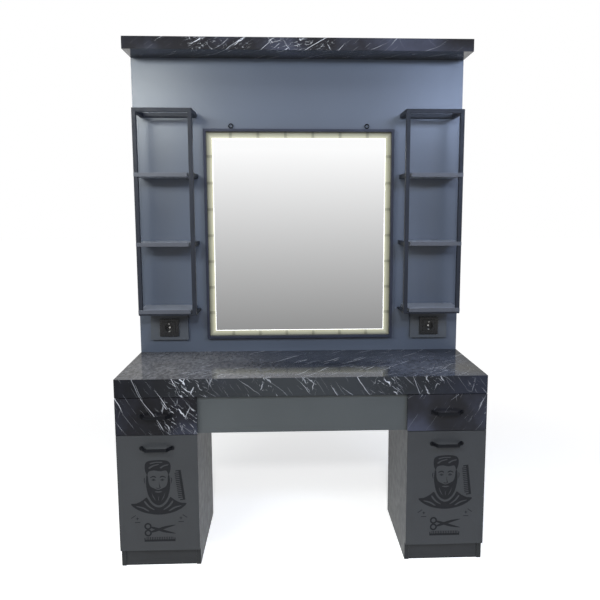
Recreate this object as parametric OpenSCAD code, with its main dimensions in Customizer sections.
// Salon styling station: worktop on two cabinets, back panel with a back-lit mirror,
// two open shelf units, two socket boxes and a canopy.
// Frame: origin on the floor under the middle, +Z up, the fronts face -Y, +X to the right.

/* [Overall] */
// Width over the worktop, the back panel and the canopy
station_w = 1500; // [1470:5:1600]
// Height to the top of the canopy
station_h = 2185; // [2150:5:2250]
// Depth from the cabinet fronts to the wall
body_d = 545; // [530:5:600]
// How far the handles stand out of the fronts
handle_out = 35; // [30:1:40]

/* [Worktop and panel] */
// Height of the working surface
worktop_z = 795; // [790:1:810]
// Thickness of the worktop's built-up slab
worktop_t = 75; // [60:1:75]
// Thickness of the back panel
panel_t = 25; // [22:1:28]
// Number of bolts that come up through the worktop into the panel
panel_bolt_count = 5; // [3:1:6]

/* [Canopy] */
// Height of the canopy box
canopy_h = 52; // [52:1:60]
// How far the canopy stands out of the panel
canopy_out = 170; // [120:5:200]
// Thickness of the canopy's boards
canopy_board = 16; // [12:1:16]

/* [Mirror] */
// Outer width of the mirror's frame
mirror_w = 868; // [840:2:880]
// Height of the frame's lower edge
mirror_z0 = 861; // [855:1:880]
// Height of the frame's upper edge
mirror_z1 = 1823; // [1780:1:1850]
// Width of the frame's face
mirror_face = 12; // [10:1:16]
// Depth of the frame
mirror_frame_d = 28; // [28:1:34]
// Width of the lit channel between the frame and the glass
glow_w = 28; // [22:1:32]
// Distance between the small brackets along the top and the bottom
clip_pitch_x = 125; // [110:1:130]
// Distance between the small brackets up the sides
clip_pitch_z = 120; // [110:1:130]

/* [Shelf units] */
// Distance from the middle to a unit's inner face
shelf_x0 = 463; // [455:1:480]
// Distance from the middle to a unit's outer face
shelf_x1 = 718; // [700:1:730]
// Depth of a unit
shelf_d = 170; // [150:1:200]
// Side of the square tube
tube = 18; // [16:1:22]
// Height of a unit's top
shelf_top_z = 1893; // [1880:1:1920]
// Height of a unit's bottom
shelf_bottom_z = 995; // [992:1:1005]
// Top of the upper board
upper_shelf_z = 1620; // [1600:1:1640]
// Top of the middle board
middle_shelf_z = 1318; // [1300:1:1340]
// Thickness of the boards
shelf_t = 17; // [16:1:19]

/* [Sockets] */
// Distance from the middle to a socket's centre
socket_x = 610; // [600:1:620]
// Height of a socket's centre
socket_z = 915; // [912:1:918]
// Width of the socket frame
socket_w = 88; // [80:1:90]
// Height of the socket frame
socket_h = 81; // [78:1:86]
// Distance between the two pin holes
pin_pitch = 19; // [19:1:19]
// Radius of a pin hole
pin_hole_r = 2.6; // [2.5:0.1:2.7]

/* [Cabinets] */
// Width of a cabinet
cabinet_w = 325; // [310:1:340]
// Depth of a cabinet's carcass
carcass_d = 470; // [460:1:480]
// Thickness of the carcass boards and the fronts
board = 18; // [16:1:18]
// Height of the split between the drawer and the bin
split_z = 565; // [560:1:568]
// Height of the cabinet floor's lower side
floor_z = 74; // [70:1:80]

/* [Drawers] */
// Length of the drawer box and of its runners
drawer_l = 400; // [380:1:420]
// Height of the drawer box
drawer_h = 100; // [90:1:100]
// Space for a runner on each side of the box
runner_space = 13; // [13:0.5:14]

/* [Bins] */
// Depth of the bin
bin_d = 262; // [255:1:262]
// Distance from the cabinet's middle to each hinge
hinge_x = 70; // [60:1:80]

/* [Handles] */
// Distance between the centres of a handle's feet
handle_pitch = 122; // [118:1:128]
// Height of the handle's bar
handle_h = 11; // [10:1:12]
// Height of a drawer's handle above the split
drawer_handle_up = 80; // [75:1:95]
// Depth of a bin's handle below the split
bin_handle_down = 53; // [35:1:60]

/* [Hidden] */
$fn = 48;
eps = 0.3;                 // play between pieces that lie side by side
gap = 2;                   // joint between two fronts
front_y = -(body_d - handle_out) / 2;
back_y = front_y + body_d;
panel_y = back_y - panel_t;
half_w = station_w / 2;
under_z = worktop_z - worktop_t;
panel_top_z = station_h - canopy_h;

// Cabinet: the fronts hang 2 mm in front of the carcass
cabinet_x = half_w - cabinet_w / 2;
bumper = 2;
carcass_y = front_y + board + bumper;
inner_w = cabinet_w - 2 * board;
back_t = 8;
divider_z = split_z - board;
stop_h = 10;
stop_t = 12;
plinth_back = 5;

// Bin hinge: the axis is on the front's back face
pivot_y = carcass_y - bumper;
pivot_lift = 1;
pivot_z = floor_z - pivot_lift;
knuckle_r = 5;
pin_r = 2.5;
pin_play = 0.05;
groove_r = 6.5;
leaf_t = 2;
leaf_l = 34;
mid_knuckle = 24;
end_knuckle = 14;
knuckle_play = 0.4;
hinge_l = mid_knuckle + 2 * (knuckle_play + end_knuckle);
leaf_start = 6;
bin_side_play = 6;
bin_w = inner_w - 2 * bin_side_play;
bin_board = 12;
bin_floor_dz = 25;
bin_back_h = 375;
stop_play = 4;
bin_r = divider_z - stop_h - stop_play - pivot_z;
horn_r = bin_r + stop_h;

// Drawer and its runners
drawer_w = inner_w - 2 * runner_space;
drawer_board = 12;
drawer_z = split_z + board;
drawer_bottom_t = 6;
runner_z = drawer_z + drawer_h / 2;
runner_wall = 1.2;
rail_h = 36;
rail_reach = 9;
middle_h = 28;
middle_reach = 8;
middle_inset = 3;
slide_h = 20;
slide_reach = 7;

// Mirror, from the panel forwards
tray_t = 2;
core_t = 16;
glass_t = 5;
core_inset = 14;
led_t = 3;
led_w = 10;
frame_in = mirror_w / 2 - mirror_face;
glass_x = frame_in - glow_w;
glass_drop = 2;
glass_z0 = mirror_z0 + mirror_face + glow_w - glass_drop;
glass_z1 = mirror_z1 - mirror_face - glow_w - glass_drop;
core_x = glass_x - core_inset;
core_y = panel_y - tray_t - core_t;
clip_w = 12;
clip_t = 8;
clip_gap = 3;
clip_count_x = 6;
clip_count_z = 7;
eyelet_x = 309;
eyelet_r = 9;
eyelet_wire = 2.5;

// Shelf units
shelf_y = panel_y - shelf_d;
lip = 4;
notch = 8;
flat_h = 8;
bottom_shelf_z = shelf_bottom_z + flat_h + shelf_t;

// Sockets
box_z0 = 856;
box_h = 134;
box_w = 174;
box_t = 20;
box_y = panel_y - box_t;
hole_r = 30;
frame_t = 9;
insert_w = 55;
insert_out = 2;
well_r = 19.6;
well_d = 17.5;
insert_l = 40;

// Bolts
bolt_r = 4;
bolt_play = 0.5;
bolt_grip = 60;
bolt_head_r = 6.5;
bolt_head_h = 5.5;
bolt_edge = 150;

MARBLE = [0.07, 0.07, 0.08];
GREY = [0.40, 0.44, 0.49];
DARK = [0.25, 0.26, 0.29];
BLACK = [0.05, 0.05, 0.06];
STEEL = [0.70, 0.70, 0.72];
WHITE = [0.88, 0.87, 0.84];
LIGHT = [1.00, 0.96, 0.78];
GLASS = [0.80, 0.84, 0.86];

// ---- helpers ----

// A box between two opposite corners
module block(low, high) {
    translate(low)
        cube(high - low);
}

// Children drawn for the right are mirrored when side is -1
module at_side(side) {
    mirror([side < 0 ? 1 : 0, 0, 0])
        children();
}

// The same shape on the left and on the right
module both_sides() {
    for (side = [-1, 1])
        at_side(side)
            children();
}

// Children drawn about a cabinet's middle, on the right or the left
module at_cabinet(side) {
    at_side(side)
        translate([cabinet_x, 0, 0])
            children();
}

// A cylinder along X, centred on the bin's axis
module axis_rod(r, l) {
    translate([-l / 2, pivot_y, pivot_z])
        rotate([0, 90, 0])
            cylinder(r = r, h = l);
}

// A rectangular ring in the XZ plane, from depth y0 to y1
module ring(x_out, z_low, z_high, face, y0, y1) {
    difference() {
        block([-x_out, y0, z_low], [x_out, y1, z_high]);
        block([-x_out + face, y0 - 1, z_low + face], [x_out - face, y1 + 1, z_high - face]);
    }
}

// ---- worktop, panel and canopy ----

function bolt_x(i) = -half_w + bolt_edge + i * (station_w - 2 * bolt_edge) / (panel_bolt_count - 1);

module at_bolts() {
    for (i = [0 : panel_bolt_count - 1])
        translate([bolt_x(i), back_y - panel_t / 2, 0])
            children();
}

module worktop() {
    color(MARBLE)
        difference() {
            block([-half_w, front_y, under_z], [half_w, back_y, worktop_z]);
            at_bolts()
                translate([0, 0, under_z - 1])
                    cylinder(r = bolt_r + bolt_play, h = worktop_t + 2);
        }
}

module apron() {
    color(GREY)
        block([-half_w + cabinet_w, carcass_y, split_z], [half_w - cabinet_w, carcass_y + board, under_z]);
}

module back_panel() {
    color(GREY)
        difference() {
            block([-half_w, panel_y, worktop_z], [half_w, back_y, panel_top_z]);
            at_bolts()
                translate([0, 0, worktop_z - 1])
                    cylinder(r = bolt_r, h = bolt_grip + 1);
            both_sides()
                socket_hole();
        }
}

module panel_bolts() {
    color(STEEL)
        at_bolts() {
            translate([0, 0, under_z - bolt_head_h])
                cylinder(r = bolt_head_r, h = bolt_head_h, $fn = 6);
            translate([0, 0, under_z])
                cylinder(r = bolt_r, h = worktop_t + bolt_grip);
        }
}

// One of the canopy's two wide boards, with its lower side at z
module canopy_board(z) {
    block([-half_w + canopy_board, panel_y - canopy_out + canopy_board, z],
          [half_w - canopy_board, back_y - canopy_board, z + canopy_board]);
}

module canopy_bottom() {
    color(MARBLE)
        canopy_board(panel_top_z);
}

module canopy_top() {
    color(MARBLE)
        canopy_board(station_h - canopy_board);
}

// Front, ends and rear strip around the two wide boards
module canopy_edges() {
    y0 = panel_y - canopy_out;
    color(MARBLE) {
        block([-half_w, y0, panel_top_z], [half_w, y0 + canopy_board, station_h]);
        both_sides()
            block([half_w - canopy_board, y0 + canopy_board, panel_top_z], [half_w, back_y, station_h]);
        block([-half_w + canopy_board, back_y - canopy_board, panel_top_z],
              [half_w - canopy_board, back_y, station_h]);
    }
}

module led_driver() {
    driver = [160, 50, 18];
    lug = [12, 30, 3];
    translate([0, panel_y - canopy_out / 2, panel_top_z + canopy_board])
        color(WHITE) {
            translate([-driver[0] / 2, -driver[1] / 2, 0])
                cube(driver);
            for (side = [-1, 1])
                translate([side * (driver[0] + lug[0]) / 2 - lug[0] / 2, -lug[1] / 2, 0])
                    cube(lug);
        }
}

// ---- mirror ----

module mirror_frame() {
    color(DARK)
        ring(mirror_w / 2, mirror_z0, mirror_z1, mirror_face, panel_y - mirror_frame_d, panel_y);
}

// Back plate with the raised middle that carries the glass
module mirror_tray() {
    color(WHITE) {
        block([-frame_in, panel_y - tray_t, mirror_z0 + mirror_face],
              [frame_in, panel_y, mirror_z1 - mirror_face]);
        block([-core_x, core_y, glass_z0 + core_inset], [core_x, panel_y - tray_t, glass_z1 - core_inset]);
    }
}

// Light strip round the edge of the raised middle
module led_strip() {
    y0 = core_y + clip_gap;
    color(LIGHT)
        ring(core_x + led_t, glass_z0 + core_inset - led_t, glass_z1 - core_inset + led_t,
             led_t, y0, y0 + led_w);
}

module mirror_glass() {
    color(GLASS)
        block([-glass_x, core_y - glass_t, glass_z0], [glass_x, core_y, glass_z1]);
}

// Small brackets between the frame and the raised middle
module mirror_clips() {
    y0 = panel_y - tray_t - clip_t;
    start = core_x + led_t + clip_gap;
    mid_z = (mirror_z0 + mirror_z1) / 2;
    color(DARK) {
        for (i = [0 : clip_count_x - 1]) {
            x = (i - (clip_count_x - 1) / 2) * clip_pitch_x;
            block([x - clip_w / 2, y0, glass_z1 - core_inset + led_t + clip_gap],
                  [x + clip_w / 2, y0 + clip_t, mirror_z1 - mirror_face]);
            block([x - clip_w / 2, y0, mirror_z0 + mirror_face],
                  [x + clip_w / 2, y0 + clip_t, glass_z0 + core_inset - led_t - clip_gap]);
        }
        for (i = [0 : clip_count_z - 1]) {
            z = mid_z + (i - (clip_count_z - 1) / 2) * clip_pitch_z;
            both_sides()
                block([start, y0, z - clip_w / 2], [frame_in, y0 + clip_t, z + clip_w / 2]);
        }
    }
}

// Two hanging rings on top of the frame
module mirror_eyelets() {
    stem = 2;
    color(DARK)
        both_sides()
            translate([eyelet_x, panel_y - mirror_frame_d / 2, mirror_z1]) {
                cylinder(r = eyelet_wire, h = stem + eyelet_wire);
                translate([0, 0, stem + eyelet_r + eyelet_wire])
                    rotate([90, 0, 0])
                        rotate_extrude()
                            translate([eyelet_r, 0])
                                circle(r = eyelet_wire);
            }
}

// ---- shelf units ----

// Rail from the front to the panel beside an upright at x, h high, with its upper side at z
module side_rail(x, z, h) {
    block([x, shelf_y + tube, z - h], [x + tube, panel_y, z]);
}

// Two uprights at the front, rails round the top, flat bars round the bottom,
// and a rail beside the inner end of each board between them
module shelf_frame(side) {
    inner_x = shelf_x0 + tube;
    outer_x = shelf_x1 - tube;
    flat_z = shelf_bottom_z + flat_h;
    color(DARK)
        at_side(side) {
            for (x = [shelf_x0, outer_x]) {
                block([x, shelf_y, shelf_bottom_z], [x + tube, shelf_y + tube, shelf_top_z]);
                side_rail(x, shelf_top_z, tube);
                side_rail(x, flat_z, flat_h);
            }
            for (z = [upper_shelf_z, middle_shelf_z])
                side_rail(shelf_x0, z, tube);
            for (y = [shelf_y, panel_y - tube])
                block([inner_x, y, shelf_top_z - tube], [outer_x, y + tube, shelf_top_z]);
            block([inner_x, shelf_y, shelf_bottom_z], [outer_x, shelf_y + tube, flat_z]);
        }
}

// Board cut round the uprights; its front lip runs across the outer one
module shelf_board(side, top_z) {
    inner = shelf_x0 + tube + eps;
    cut = shelf_x1 - tube - eps;
    color(GREY)
        at_side(side)
            translate([0, 0, top_z - shelf_t])
                linear_extrude(height = shelf_t)
                    polygon([
                        [inner + notch, shelf_y - lip], [shelf_x1, shelf_y - lip],
                        [shelf_x1, shelf_y - eps], [cut, shelf_y - eps],
                        [cut, shelf_y + tube + eps], [shelf_x1, shelf_y + tube + eps],
                        [shelf_x1, panel_y], [inner, panel_y],
                        [inner, shelf_y + tube + eps], [inner + notch, shelf_y + tube + eps]
                    ]);
}

// ---- sockets ----

// Round hole for a socket, through the box and the panel
module socket_hole() {
    translate([socket_x, box_y - 1, socket_z])
        rotate([-90, 0, 0])
            cylinder(r = hole_r, h = box_t + panel_t + 2);
}

module socket_box(side) {
    color(GREY)
        at_side(side)
            difference() {
                block([socket_x - box_w / 2, box_y, box_z0],
                      [socket_x + box_w / 2, panel_y, box_z0 + box_h]);
                socket_hole();
            }
}

// Cover frames round the square plates
module socket_frames() {
    hole = insert_w / 2 + eps;
    color(BLACK)
        both_sides()
            translate([socket_x, 0, socket_z])
                difference() {
                    block([-socket_w / 2, box_y - frame_t, -socket_h / 2],
                          [socket_w / 2, box_y, socket_h / 2]);
                    block([-hole, box_y - frame_t - 1, -hole], [hole, box_y + 1, hole]);
                }
}

// Square plate with the round well and its two pin holes
module socket_inserts() {
    y0 = box_y - frame_t - insert_out;
    color(BLACK)
        both_sides()
            translate([socket_x, 0, socket_z])
                difference() {
                    union() {
                        block([-insert_w / 2, y0, -insert_w / 2], [insert_w / 2, box_y, insert_w / 2]);
                        translate([0, box_y, 0])
                            rotate([-90, 0, 0])
                                cylinder(r = hole_r - 1, h = insert_l);
                    }
                    translate([0, y0 - 1, 0])
                        rotate([-90, 0, 0])
                            cylinder(r = well_r, h = well_d + 1);
                    for (x = [-pin_pitch / 2, pin_pitch / 2])
                        translate([x, y0, 0])
                            rotate([-90, 0, 0])
                                cylinder(r = pin_hole_r, h = 2 * well_d);
                }
}

// Earth clips above and below, and the screw in the middle
module socket_contacts() {
    floor_y = box_y - frame_t - insert_out + well_d;
    clip = [7, 16, 2.2];
    clip_offset = 16.8;
    screw_r = 3.8;
    screw_h = 2.4;
    slot = 1;
    color(STEEL)
        both_sides()
            translate([socket_x, floor_y, socket_z]) {
                for (up = [-1, 1])
                    translate([-clip[0] / 2, -clip[1], up * clip_offset + (up - 1) / 2 * clip[2]])
                        cube(clip);
                difference() {
                    rotate([90, 0, 0])
                        cylinder(r = screw_r, h = screw_h);
                    block([-screw_r, -screw_h - 1, -slot / 2], [screw_r, -screw_h + slot, slot / 2]);
                }
            }
}

// ---- cabinets ----

// Groove along the bin's axis, in which the knuckles turn
module hinge_groove() {
    axis_rod(groove_r, cabinet_w + 2);
}

module cabinet_sides(side) {
    color(GREY)
        at_cabinet(side)
            for (x = [-cabinet_w / 2, cabinet_w / 2 - board])
                block([x, carcass_y, 0], [x + board, carcass_y + carcass_d, under_z]);
}

module cabinet_back(side) {
    y1 = carcass_y + carcass_d;
    color(GREY)
        at_cabinet(side)
            block([-inner_w / 2, y1 - back_t, floor_z], [inner_w / 2, y1, under_z]);
}

module cabinet_floor(side) {
    color(GREY)
        at_cabinet(side)
            difference() {
                block([-inner_w / 2, carcass_y, floor_z],
                      [inner_w / 2, carcass_y + carcass_d - back_t, floor_z + board]);
                hinge_groove();
            }
}

// Divider with the bin's stop strip under it, and the stretcher under the worktop
module cabinet_rails(side) {
    stretcher_d = 100;
    color(GREY)
        at_cabinet(side) {
            block([-inner_w / 2, carcass_y, divider_z],
                  [inner_w / 2, carcass_y + carcass_d - back_t, divider_z + board]);
            block([-inner_w / 2, carcass_y, divider_z - stop_h],
                  [inner_w / 2, carcass_y + stop_t, divider_z]);
            block([-inner_w / 2, carcass_y, under_z - board],
                  [inner_w / 2, carcass_y + stretcher_d, under_z]);
        }
}

module plinth(side) {
    color(GREY)
        at_cabinet(side)
            block([-inner_w / 2, carcass_y + plinth_back, 0],
                  [inner_w / 2, carcass_y + plinth_back + board, floor_z - gap]);
}

// ---- drawers ----

module drawer_front(side) {
    color(MARBLE)
        at_cabinet(side)
            block([-cabinet_w / 2, front_y, split_z + gap / 2],
                  [cabinet_w / 2, front_y + board, under_z - gap]);
}

// Four boards around the drawer's inside
module drawer_box(side) {
    y0 = front_y + board;
    color(GREY)
        at_cabinet(side)
            difference() {
                block([-drawer_w / 2, y0, drawer_z], [drawer_w / 2, y0 + drawer_l, drawer_z + drawer_h]);
                block([-drawer_w / 2 + drawer_board, y0 + drawer_board, drawer_z - 1],
                      [drawer_w / 2 - drawer_board, y0 + drawer_l - drawer_board, drawer_z + drawer_h + 1]);
            }
}

module drawer_bottom(side) {
    y0 = front_y + board + drawer_board;
    color(GREY)
        at_cabinet(side)
            block([-drawer_w / 2 + drawer_board, y0, drawer_z],
                  [drawer_w / 2 - drawer_board, y0 + drawer_l - 2 * drawer_board,
                   drawer_z + drawer_bottom_t]);
}

// Flat bow on two round feet, centred on [cabinet middle, front, z]
module bow_handle(z) {
    foot_r = 9;
    bar_t = 6;
    bar_half = 40;
    half = handle_pitch / 2;
    translate([0, front_y, z]) {
        translate([0, 0, -handle_h / 2])
            linear_extrude(height = handle_h)
                polygon([
                    [-half - bar_t / 2, 0], [-bar_half - bar_t / 2, -handle_out],
                    [bar_half + bar_t / 2, -handle_out], [half + bar_t / 2, 0],
                    [half - bar_t, 0], [bar_half - bar_t / 2, -handle_out + bar_t],
                    [-bar_half + bar_t / 2, -handle_out + bar_t], [-half + bar_t, 0]
                ]);
        for (x = [-half, half])
            translate([x, 0, 0])
                rotate([90, 0, 0])
                    cylinder(r = foot_r, h = bar_t / 2);
    }
}

module drawer_handle(side) {
    color(BLACK)
        at_cabinet(side)
            bow_handle(split_z + drawer_handle_up);
}

// Channel along Y for a runner: web at x, flanges dir * reach wide, height h
module channel(x, dir, reach, h) {
    y0 = front_y + board;
    at = dir > 0 ? x : x - reach;
    web = dir > 0 ? x : x - runner_wall;
    for (z = [-h / 2, h / 2 - runner_wall])
        block([at, y0, runner_z + z], [at + reach, y0 + drawer_l, runner_z + z + runner_wall]);
    block([web, y0, runner_z - h / 2], [web + runner_wall, y0 + drawer_l, runner_z + h / 2]);
}

// Left and right copies of a channel inside one cabinet
module runner_pair(side, offset, dir, reach, h) {
    at_cabinet(side)
        both_sides()
            channel(inner_w / 2 - offset, dir, reach, h);
}

// Members screwed to the carcass
module runner_rails() {
    color(STEEL)
        intersection() {
            for (side = [-1, 1])
                runner_pair(side, 0, -1, rail_reach, rail_h);
            block([-half_w, carcass_y, 0], [half_w, back_y, station_h]);
        }
}

// Members that travel half as far as the drawer
module runner_middles(side) {
    color(STEEL)
        runner_pair(side, middle_inset, -1, middle_reach, middle_h);
}

// Members screwed to the drawer box
module runner_slides(side) {
    color(STEEL)
        runner_pair(side, runner_space, 1, slide_reach, slide_h);
}

// ---- tilting bins ----

// The two hinges of a bin
module at_hinges() {
    for (x = [-hinge_x, hinge_x])
        translate([x, 0, 0])
            children();
}

module bin_front(side) {
    color(GREY)
        at_cabinet(side)
            difference() {
                block([-cabinet_w / 2, front_y, floor_z + pivot_lift],
                      [cabinet_w / 2, front_y + board, split_z - gap / 2]);
                hinge_groove();
                at_hinges()
                    block([-hinge_l / 2 - eps, pivot_y - leaf_t / 2 - eps, floor_z],
                          [hinge_l / 2 + eps, pivot_y + 1, pivot_z + leaf_l + eps]);
            }
}

// A slice of the bin's quadrant, dx thick, with the horn that meets the stop strip
module bin_cheek(dx) {
    intersection() {
        union() {
            axis_rod(bin_r, dx);
            intersection() {
                axis_rod(horn_r, dx);
                block([-dx, pivot_y + bin_d - bin_board, pivot_z], [dx, pivot_y + bin_d, divider_z]);
            }
        }
        block([-dx, pivot_y, pivot_z + bin_floor_dz], [dx, pivot_y + bin_d, divider_z]);
    }
}

// Two cheeks, a back and a floor
module bin_box(side) {
    half = bin_w / 2;
    inner = half - bin_board;
    color(GREY)
        at_cabinet(side) {
            for (x = [-half + bin_board / 2, half - bin_board / 2])
                translate([x, 0, 0])
                    bin_cheek(bin_board);
            block([-inner, pivot_y + bin_d - bin_board, pivot_z + bin_floor_dz],
                  [inner, pivot_y + bin_d, pivot_z + bin_back_h]);
            block([-inner, pivot_y + leaf_t, pivot_z + bin_floor_dz],
                  [inner, pivot_y + bin_d - bin_board, pivot_z + bin_floor_dz + bin_board]);
        }
}

module bin_handle(side) {
    color(BLACK)
        at_cabinet(side)
            bow_handle(split_z - bin_handle_down);
}

// Middle knuckles and the plates under the cabinet floor
module bin_hinge_plates() {
    color(STEEL)
        for (side = [-1, 1])
            at_cabinet(side)
                at_hinges()
                    difference() {
                        union() {
                            axis_rod(knuckle_r, mid_knuckle);
                            block([-mid_knuckle / 2, pivot_y, pivot_z - leaf_t / 2],
                                  [mid_knuckle / 2, pivot_y + leaf_start + 1, pivot_z + leaf_t / 2]);
                            block([-hinge_l / 2, pivot_y + leaf_start, pivot_z - leaf_t / 2],
                                  [hinge_l / 2, pivot_y + leaf_l, pivot_z + leaf_t / 2]);
                        }
                        axis_rod(pin_r, hinge_l);
                    }
}

module bin_hinge_pins() {
    color(STEEL)
        for (side = [-1, 1])
            at_cabinet(side)
                at_hinges()
                    axis_rod(pin_r, hinge_l);
}

// End knuckles and the plates let into the front's back
module bin_hinge_leaves(side) {
    color(STEEL)
        at_cabinet(side)
            at_hinges()
                difference() {
                    union() {
                        for (x = [-1, 1])
                            translate([x * (hinge_l - end_knuckle) / 2, 0, 0]) {
                                axis_rod(knuckle_r, end_knuckle);
                                block([-end_knuckle / 2, pivot_y - leaf_t / 2, pivot_z],
                                      [end_knuckle / 2, pivot_y + leaf_t / 2, pivot_z + leaf_start + 1]);
                            }
                        block([-hinge_l / 2, pivot_y - leaf_t / 2, pivot_z + leaf_start],
                              [hinge_l / 2, pivot_y + leaf_t / 2, pivot_z + leaf_l]);
                    }
                    axis_rod(pin_r + pin_play, hinge_l + 2);
                }
}

// ---- nodes ----

worktop();
apron();
back_panel();
panel_bolts();
canopy_bottom();
canopy_top();
canopy_edges();
led_driver();
mirror_frame();
mirror_tray();
led_strip();
mirror_glass();
mirror_clips();
mirror_eyelets();
shelf_frame(-1);  // left_shelf_frame
shelf_board(-1, upper_shelf_z);  // left_upper_shelf
shelf_board(-1, middle_shelf_z);  // left_middle_shelf
shelf_board(-1, bottom_shelf_z);  // left_bottom_shelf
shelf_frame(1);  // right_shelf_frame
shelf_board(1, upper_shelf_z);  // right_upper_shelf
shelf_board(1, middle_shelf_z);  // right_middle_shelf
shelf_board(1, bottom_shelf_z);  // right_bottom_shelf
socket_box(-1);  // left_socket_box
socket_box(1);  // right_socket_box
socket_frames();
socket_inserts();
socket_contacts();
cabinet_sides(-1);  // left_cabinet_sides
cabinet_back(-1);  // left_cabinet_back
cabinet_floor(-1);  // left_cabinet_floor
cabinet_rails(-1);  // left_cabinet_rails
plinth(-1);  // left_plinth
cabinet_sides(1);  // right_cabinet_sides
cabinet_back(1);  // right_cabinet_back
cabinet_floor(1);  // right_cabinet_floor
cabinet_rails(1);  // right_cabinet_rails
plinth(1);  // right_plinth
runner_rails();
bin_hinge_plates();
bin_hinge_pins();
drawer_front(-1);  // left_drawer_front
drawer_box(-1);  // left_drawer_box
drawer_bottom(-1);  // left_drawer_bottom
drawer_handle(-1);  // left_drawer_handle
runner_slides(-1);  // left_runner_slides
runner_middles(-1);  // left_runner_middles
drawer_front(1);  // right_drawer_front
drawer_box(1);  // right_drawer_box
drawer_bottom(1);  // right_drawer_bottom
drawer_handle(1);  // right_drawer_handle
runner_slides(1);  // right_runner_slides
runner_middles(1);  // right_runner_middles
bin_front(-1);  // left_bin_front
bin_box(-1);  // left_bin_box
bin_handle(-1);  // left_bin_handle
bin_hinge_leaves(-1);  // left_bin_hinge_leaves
bin_front(1);  // right_bin_front
bin_box(1);  // right_bin_box
bin_handle(1);  // right_bin_handle
bin_hinge_leaves(1);  // right_bin_hinge_leaves
